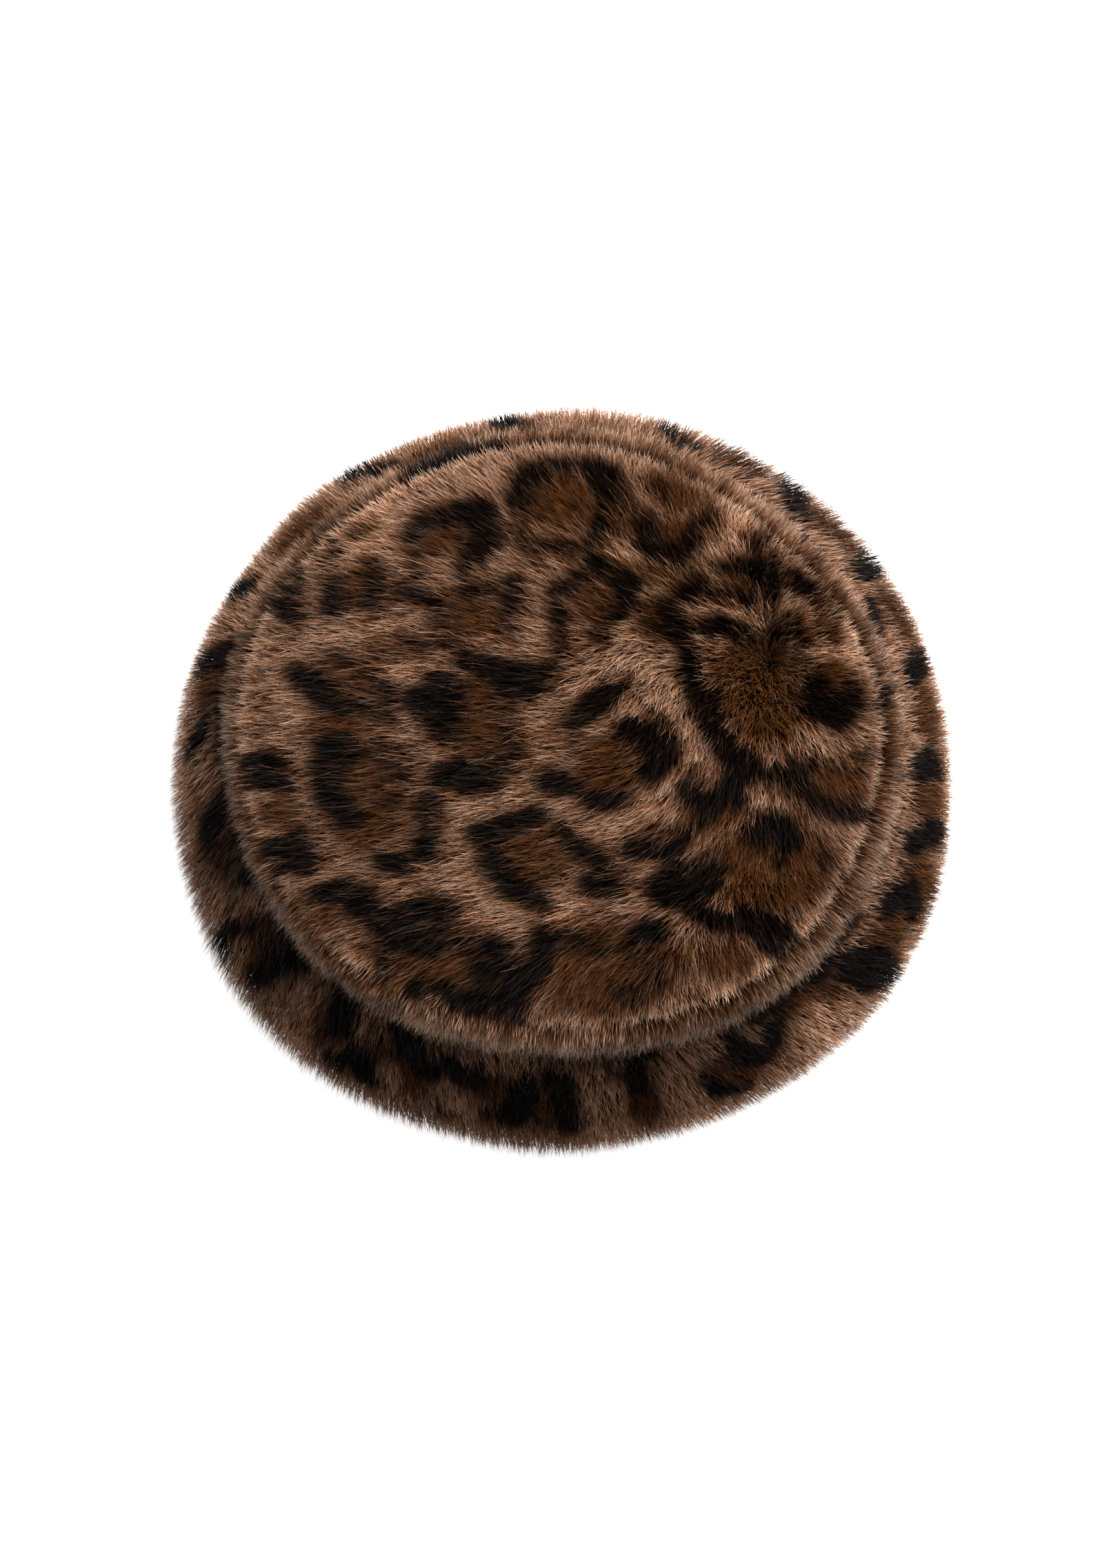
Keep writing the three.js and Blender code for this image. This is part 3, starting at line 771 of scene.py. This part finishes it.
places = np.linspace(0, 5, 26)[:, None]
angles = angles_round(ROUND)
band_rings = np.vstack([
    oval_point(BAND_ROWS, places, angles, 0.0),
    oval_point(BAND_ROWS, places[::-1], angles, -CLOTH),
])
inner_along = 5 * BAND_ROW + CLOTH + (5 - places[::-1, 0]) * BAND_ROW
band_along = np.concatenate([places[:, 0] * BAND_ROW, inner_along])
add_backing("crown_band_backing", band_rings, "joined", band_along, "crown_band")

# The band's print is the same rosettes, about 41 mm apart. It is worked in millimetres round
# the band and down it from the tip's seam.
band_black = [[(190, 2, 8), (203, 3, 11), (216, 3, 8)], [(28, 4, 3), (32, 4, 4)]]
band_brown = []
chances = np.random.default_rng(31)


def rosette_strokes(middle_u, middle_v, across, tall):
    """The broken black strokes round the brown middle of one rosette."""
    strokes = []
    start = chances.uniform(0, 2 * math.pi)
    for part in range(chances.integers(3, 5)):
        first = start + part * 2 * math.pi / chances.uniform(3.9, 4.6)
        width = chances.uniform(4.5, 8.5)
        stroke = []
        for step in range(4):
            bearing = first + step * chances.uniform(0.2, 0.4)
            reach = chances.uniform(0.85, 1.15)
            stroke_u = middle_u + reach * across * math.cos(bearing)
            stroke_v = middle_v + reach * tall * math.sin(bearing)
            stroke.append((stroke_u, stroke_v, width * (0.6, 1, 1, 0.4)[step]))
        strokes.append(stroke)
    return strokes


for row, down in enumerate(ROSETTE_ROWS):
    for column in range(BAND_ROSETTES):
        middle_u = (column + 0.5 * row) * BAND_ROUND / BAND_ROSETTES + chances.uniform(-6, 6)
        middle_v = down + chances.uniform(-5, 5)
        across, tall = chances.uniform(10, 14), chances.uniform(8, 12)
        band_brown.append((middle_u, middle_v, 0.8 * across, 0.8 * tall))
        band_black += rosette_strokes(middle_u, middle_v, across, tall)
        # A loose dot fills the space beside some rosettes
        if chances.random() < 0.6:
            dot_u = middle_u + 0.5 * BAND_ROUND / BAND_ROSETTES + chances.uniform(-2, 2)
            dot_v = middle_v + chances.uniform(-8, 8)
            dot_end = (dot_u + 2, dot_v + chances.uniform(-3, 3), 3)
            band_black.append([(dot_u - 2, dot_v, 4), dot_end])

# Painted light and shade on the ring of pile beside the seam, paler low down and darker on the
# right and left: degrees round the hat, and paler or darker
BAND_RING_PAINTED_LIGHT = [
    (-180, -0.5), (-130, 0.0), (-90, 0.9), (-65, 0.2), (-45, -0.4), (0, -0.5), (30, -0.4),
    (60, -0.3), (90, -0.2), (180, -0.5),
]


def degrees_of(angle):
    """Degrees from -180 to 180 of angles round the hat."""
    return (np.degrees(angle) + 180) % 360 - 180


angles = angles_round(460)
places = np.linspace(0, 5, 60)[:, None]
roots = oval_point(BAND_ROWS, places, angles, 0.2)
normals = ring_normals(roots)
u = angles * BAND_ROUND / (2 * math.pi) + 0 * places
v = places * BAND_ROW + 0 * angles
sideways = np.stack([-np.sin(angles), np.cos(angles), 0 * angles], axis=-1)
swirl = 0.25 * np.sin(2 * angles + 0.6) + 0.15 * np.sin(7 * angles)
nap = along_surface(np.array([0, 0, -1.0]) + swirl[..., None] * sideways + 0 * roots, normals)
stand = np.interp(v, [0, 5, 10, 20, 72], [1.4, 1.15, 0.9, 0.45, 0.3])
# Beside the seam the dye is a plain mid brown, a little deeper here and there
near_seam = np.clip(1.8 - v / 12, 0, 1)
plain = (0.62 + 0.2 * np.sin(3 * angles + 1.2) * np.sin(8 * angles)) * near_seam
shadow = 0.7 * marks_at(u, v, band_black, BAND_ROUND, spread=6.0, blur=12.0)
band_print = dict(
    nap=nap,
    stand=stand,
    grown=0.85 + 0.15 * np.clip(v / 20, 0, 1),
    thick=np.interp(v, [0, 12, 20, 72], [2.2, 2.2, 0.8, 0.75]),
    even=np.interp(v, [0, 12, 25, 72], [0.75, 0.75, 0.2, 0.1]),
    pale=np.interp(degrees_of(angles), *zip(*BAND_RING_PAINTED_LIGHT)) * near_seam,
    ink=marks_at(u, v, band_black, BAND_ROUND),
    core=np.maximum.reduce([plain, 0.8 * patches_at(u, v, band_brown, BAND_ROUND), shadow]),
)
grow_pile("crown_band_fur", seeds("band_roots", roots, band_print), "crown_band", {
    **TIP_PILE,
    "Hairs per square metre": 0.84e6,
    "Hair length": 0.0098,
    "Hair width": 0.00030,
    "Shortest share": 0.7,
    "Wisps per metre": 330.0,
    "Wisp draw": 0.65,
    "Stray": 0.003,
    "Slip": 0.0013,
    "Lean": 0.25,
    "Map cells": 256.0,
    "Seed": 5,
})


# The brim
# A sloping ring of the same cloth, sewn to the side band at the head seam. Its edge is turned
# under and its pile hangs over that edge, down to whatever the hat stands on.

# Length round the middle of the brim, and down it from row to row
BRIM_ROUND = 740.0
BRIM_ROW = 11.8
# Columns as for the side band's rows
BRIM_ROWS = np.array([
    (51.7, 99.5, 90.5, 0, 0.4),
    (42.0, 105.5, 96.7, 0, 0.4),
    (32.0, 111.8, 103.3, 0, 0.3),
    (22.0, 118.2, 110.2, 0, 0.3),
    (12.5, 124.4, 117.0, 0, 0.3),
    (6.0, 128.6, 121.8, 0, 0.3),
])
# How the hem turns under the edge: reach outside the last row, and height
HEM = np.array([(1.4, 3.4), (1.2, 1.4), (-0.6, 0.5), (-3.4, 0.6), (-4.6, 3.0)])
# The pile grows on its first rings too, this many rows down from the head seam
HEM_ROWS = [5.2, 5.35, 5.5]


def hem_rings(angle, hem):
    """Rings of points where the hem turns under the edge."""
    rings = oval_point(BRIM_ROWS, 5.0, angle, hem[:, :1])
    rings[..., 2] = hem[:, 1:]
    return rings


places = np.linspace(0, 5, 24)[:, None]
angles = angles_round(ROUND)
brim_rings = np.vstack([
    oval_point(BRIM_ROWS, places, angles, 0.0),
    hem_rings(angles, HEM),
    oval_point(BRIM_ROWS, places[::-1], angles, -CLOTH),
])
brim_along = np.concatenate([
    places[:, 0] * BRIM_ROW,
    61 + 2 * np.arange(len(HEM)),
    72 + (5 - places[::-1, 0]) * BRIM_ROW,
])
add_backing("brim_backing", brim_rings, "joined", brim_along, "brim")

# The brim's marks, charted: degrees round the hat from +X, rows down from the head seam,
# and width in millimetres
BRIM_BLACK = [
    [(-176, 1.4, 8), (-172, 2.4, 9), (-169, 3.3, 6)], [(-160, 1.0, 6), (-157, 2.2, 7)],
    [(-154, 2.4, 8), (-152, 3.6, 9), (-152, 4.6, 6)],
    [(-145, 1.1, 9), (-142, 1.6, 10), (-144, 2.6, 7)], [(-144, 2.9, 6), (-145, 4.0, 6)],
    [(-131, 0.9, 7), (-129, 2.6, 8)], [(-127, 4.2, 6), (-124, 3.2, 6), (-121, 4.0, 7)],
    [(-119, 1.0, 8), (-115, 1.9, 8), (-112, 2.5, 5)],
    [(-110, 1.6, 6), (-106, 2.4, 8), (-103, 1.5, 5)], [(-108, 4.1, 5), (-105, 3.4, 5)],
    [(-99, 1.2, 7), (-96, 2.3, 8), (-98, 3.8, 7)], [(-91, 1.7, 8), (-88, 2.8, 11), (-88, 3.9, 9)],
    [(-83, 1.2, 5), (-82, 2.8, 4)], [(-77, 0.8, 6), (-74, 1.1, 4)], [(-78, 1.5, 5), (-77, 2.6, 4)],
    [(-67, 2.9, 3), (-65, 3.8, 4), (-61, 4.3, 3)],
    [(-61, 1.5, 6), (-60, 2.6, 8), (-56, 3.2, 8), (-52, 2.2, 5)], [(-54, 1.2, 8), (-47, 1.2, 7)],
    [(-36, 2.5, 10), (-34, 3.6, 15), (-33, 4.6, 10)],
    [(-24, 2.6, 7), (-20, 3.5, 8), (-22, 4.5, 6)], [(-13, 2.8, 6), (-10, 3.6, 8), (-9, 4.7, 6)],
    [(0, 2.8, 7), (2, 3.6, 9), (1, 4.4, 6)], [(17, 3.4, 6), (19, 4.6, 8)],
    [(36, 3.6, 6), (36, 4.8, 8)], [(50, 3.6, 8), (53, 4.8, 9)], [(70, 4.2, 6), (74, 4.8, 5)],
    [(94, 3.8, 5), (99, 4.8, 7)], [(118, 4.2, 6), (123, 4.9, 6)], [(147, 4.2, 5), (149, 4.9, 5)],
    [(158, 2.6, 7), (160, 3.6, 8), (162, 4.7, 6)], [(166, 2.2, 9), (171, 2.0, 9), (177, 1.8, 7)],
    [(172, 3.2, 6), (176, 3.9, 6)], [(10, 0.9, 8), (16, 1.8, 7)], [(30, 1.2, 8), (36, 0.8, 7)],
    [(26, 2.4, 6), (30, 3.0, 6)], [(-20, 1.0, 8), (-12, 1.3, 7)],
    [(-44, 1.0, 7), (-40, 1.7, 7), (-36, 1.0, 6), (-30, 1.4, 7)],
]
BRIM_BROWN = [
    (-166, 2.2, 14, 18), (-148, 2.6, 12, 18), (-133, 3.2, 12, 16), (-118, 2.8, 14, 16),
    (-103, 2.8, 12, 18), (-93, 2.6, 8, 20), (-77, 3.0, 6, 18), (-62, 3.2, 12, 14),
    (-48, 1.8, 12, 12), (-29, 3.4, 12, 14), (-19, 3.9, 14, 16), (-41, 2.2, 8, 14),
    (-5, 3.8, 10, 12), (10, 3.9, 12, 12), (27, 4.2, 12, 10), (44, 4.3, 12, 10), (62, 4.4, 12, 10),
    (165, 3.0, 12, 16), (85, 3.2, 14, 12), (110, 3.4, 14, 12), (135, 3.8, 14, 12),
    (-176, 3.8, 10, 10),
]
# Rosettes that the crown hides in the picture: degrees round the hat, and rows down
BRIM_BACK = [(56, 1.5), (79, 1.8), (101, 1.4), (123, 1.9), (144, 1.4)]
# Pale places between the brim's rosettes, in the same way. They are pale in the print, and
# are lightened further as painted light where the crown's shade falls on the brim
BRIM_PALE = [
    (-179, 3.3, 7, 16), (-173, 4.0, 8, 6), (-160, 3.7, 7, 9), (-156, 2.1, 5, 11),
    (-150, 3.6, 4, 8), (-137, 2.8, 7, 14), (-135, 4.1, 9, 9), (-118, 3.3, 5, 8), (-107, 3.3, 8, 8),
    (-101, 0.9, 12, 8), (-84, 2.5, 7, 18), (-83, 4.2, 8, 8), (-70, 1.6, 7, 12), (-71, 4.3, 7, 6),
    (-47, 3.5, 9, 14), (-71, 3.0, 6, 14), (-65, 1.5, 7, 10),
]
# The brim's combing: degrees round the hat, and the direction from above in degrees
BRIM_COMBING = [
    (-180, 252), (-165, 264), (-150, 266), (-135, 268), (-120, 274), (-105, 280), (-90, 284),
    (-75, 296), (-62, 335), (-48, 362), (-35, 352), (-20, 356), (0, 362), (20, 372), (35, 352),
    (48, 328), (62, 336), (75, 420), (90, 452), (120, 488), (150, 508), (165, 552), (180, 612),
]
# Degrees round the hat, and the extra share of the pile's length at the edge there
BRIM_OVERHANG = [
    (-180, 0.02), (-165, 0.05), (-150, 0.3), (-125, 0.07), (-108, -0.08), (-90, 0.05), (-78, -0.1),
    (-55, 0.0), (-35, 0.3), (-20, 0.18), (0, -0.05), (18, 0.0), (30, 0.2), (50, 0.45), (63, 0.5),
    (80, 0.32), (100, 0.05), (112, 0.08), (130, 0.32), (145, 0.0), (165, 0.0), (180, 0.02),
]

angles = angles_round(520)
places = np.linspace(0, 5, 62)[:, None]
hem_roots = hem_rings(angles, HEM[: len(HEM_ROWS)])
roots = np.vstack([oval_point(BRIM_ROWS, places, angles, 0.2), hem_roots])
normals = ring_normals(roots)
rows_down = np.concatenate([places[:, 0], HEM_ROWS])[:, None]
u = angles * BRIM_ROUND / (2 * math.pi) + 0 * rows_down
v = rows_down * BRIM_ROW + 0 * angles
degrees = degrees_of(angles)
bearing = np.radians(np.interp(degrees, *zip(*BRIM_COMBING)))
bearing = bearing + 0.2 * np.sin(9 * angles) + 0 * rows_down
level = np.stack([np.cos(bearing), np.sin(bearing)], axis=-1)
outward = np.stack([np.cos(angles), np.sin(angles)], axis=-1) + 0 * level
fall = -0.35 - 0.5 * np.clip((level * outward).sum(-1, keepdims=True), 0, 1)
nap = along_surface(np.concatenate([level, fall], axis=-1), normals)
stand = np.interp(v, [0, 12, 50, 59, 66], [0.55, 0.3, 0.25, 0.4, 0.75])
# The pile hangs further over the edge here and there
edge_length = 1 + np.interp(degrees, *zip(*BRIM_OVERHANG)) * np.clip(v / 45 - 0.3, 0, 1)
scaled = BRIM_ROUND / 360
brim_black = [[(a * scaled, r * BRIM_ROW, w) for a, r, w in mark] for mark in BRIM_BLACK]
brim_brown = [(a * scaled, r * BRIM_ROW, du, dv) for a, r, du, dv in BRIM_BROWN]
brim_pale = [(a * scaled, r * BRIM_ROW, du, dv) for a, r, du, dv in BRIM_PALE]
for place, row in BRIM_BACK:
    brim_black += rosette_strokes(place * scaled, row * BRIM_ROW, 15, 10)
    brim_brown.append((place * scaled, row * BRIM_ROW, 12, 8))
paler = patches_at(u, v, brim_pale, BRIM_ROUND)
dyed_share = 1 - 0.85 * paler
shadow = 0.75 * marks_at(u, v, brim_black, BRIM_ROUND, spread=6.0, blur=12.0)
brim_print = dict(
    nap=nap,
    stand=stand,
    grown=edge_length * np.interp(v, [0, 8, 35, 50, 60], [0.72, 0.84, 0.87, 0.95, 0.75]),
    thick=np.interp(v, [0, 30, 45, 54, 66], [0.7, 0.85, 1.0, 1.6, 1.7]),
    even=np.interp(v, [0, 45, 60], [0.2, 0.25, 0.9]),
    # Painted light: the pale places are made paler than the print alone
    pale=1.3 * paler,
    ink=dyed_share * marks_at(u, v, brim_black, BRIM_ROUND, spread=3.5),
    core=dyed_share * np.maximum(patches_at(u, v, brim_brown, BRIM_ROUND), shadow),
)
grow_pile("brim_fur", seeds("brim_roots", roots, brim_print), "brim", {
    **TIP_PILE,
    "Hairs per square metre": 0.85e6,
    "Hair length": 0.0105,
    "Hair width": 0.00031,
    "Shortest share": 0.84,
    "Wisps per metre": 480.0,
    "Wisp draw": 0.45,
    "Wisp pull": 0.006,
    "Stray": 0.0028,
    "Slip": 0.0013,
    "Lean": 0.12,
    "Map cells": 256.0,
    "Seed": 6,
})
grow_pile("brim_guard_hair", seeds("brim_guard_roots", roots, brim_print), "brim", {
    **TIP_GUARD_HAIR,
    "Hairs per square metre": 0.34e6,
    "Hair length": 0.0112,
    "Hair width": 0.00017,
    "Shortest share": 0.76,
    "Wisps per metre": 360.0,
    "Wisp draw": 0.3,
    "Wisp pull": 0.008,
    "Stray": 0.004,
    "Slip": 0.0026,
    "Lean": 0.15,
    "Seed": 12,
})
for shape in (pile_strand, guard_hair):
    bpy.data.objects.remove(shape)


# The floor, the light and the camera
# A plain pale matt floor, soft white light from overhead and from the right behind the hat, and
# a camera almost straight above it, as a catalogue picture is taken.

floor_paint = bpy.data.materials.new("matt white board")
floor_paint.use_nodes = True
board = floor_paint.node_tree.nodes["Principled BSDF"].inputs
board["Base Color"].default_value = linear("#f4f3f1")
board["Roughness"].default_value = 0.9
board["Emission Color"].default_value = (1.0, 1.0, 1.0, 1.0)
board["Emission Strength"].default_value = 0.75
floor_mesh = bpy.data.meshes.new("floor")
reach = 20.0
floor_corners = [(-reach, -reach, 0), (reach, -reach, 0), (reach, reach, 0), (-reach, reach, 0)]
floor_mesh.from_pydata(floor_corners, [], [(0, 1, 2, 3)])
floor_mesh.materials.append(floor_paint)
add_object("floor", floor_mesh)

world = bpy.data.worlds.new("studio")
world.use_nodes = True
sky = world.node_tree.nodes["Background"].inputs
sky["Color"].default_value = (1.0, 1.0, 1.0, 1.0)
sky["Strength"].default_value = 0.11
bpy.context.scene.world = world

# Each lamp: name, place and the point it faces in metres, width of its panel, and power
LAMPS = [
    ("key_panel", (0.62, 0.92, 1.28), (0.0, 0.0, 0.1), 0.6, 60.0),
    ("top_panel", (0.20, 0.40, 1.9), (0.0, 0.0, 0.1), 0.8, 18.0),
]
for name, place, target, width, power in LAMPS:
    panel = bpy.data.lights.new(name, "AREA")
    panel.shape = "SQUARE"
    panel.size = width
    panel.energy = power
    lamp = add_object(name, panel)
    lamp.location = place
    facing = Vector(target) - Vector(place)
    lamp.rotation_euler = facing.to_track_quat("-Z", "Y").to_euler()

CAMERA_ELEVATION = math.radians(83.8)
CAMERA_DISTANCE = 1.151
CAMERA_AIM = (-0.0007, -0.0026, 0.010)
lens = bpy.data.cameras.new("camera")
lens.sensor_width = 36.0
lens.lens = 75.69
camera = add_object("camera", lens)
camera.location = (
    CAMERA_AIM[0],
    CAMERA_AIM[1] - CAMERA_DISTANCE * math.cos(CAMERA_ELEVATION),
    CAMERA_AIM[2] + CAMERA_DISTANCE * math.sin(CAMERA_ELEVATION),
)
camera.rotation_euler = (math.pi / 2 - CAMERA_ELEVATION, 0, 0)
bpy.context.scene.camera = camera
bpy.context.scene.view_settings.view_transform = "Standard"
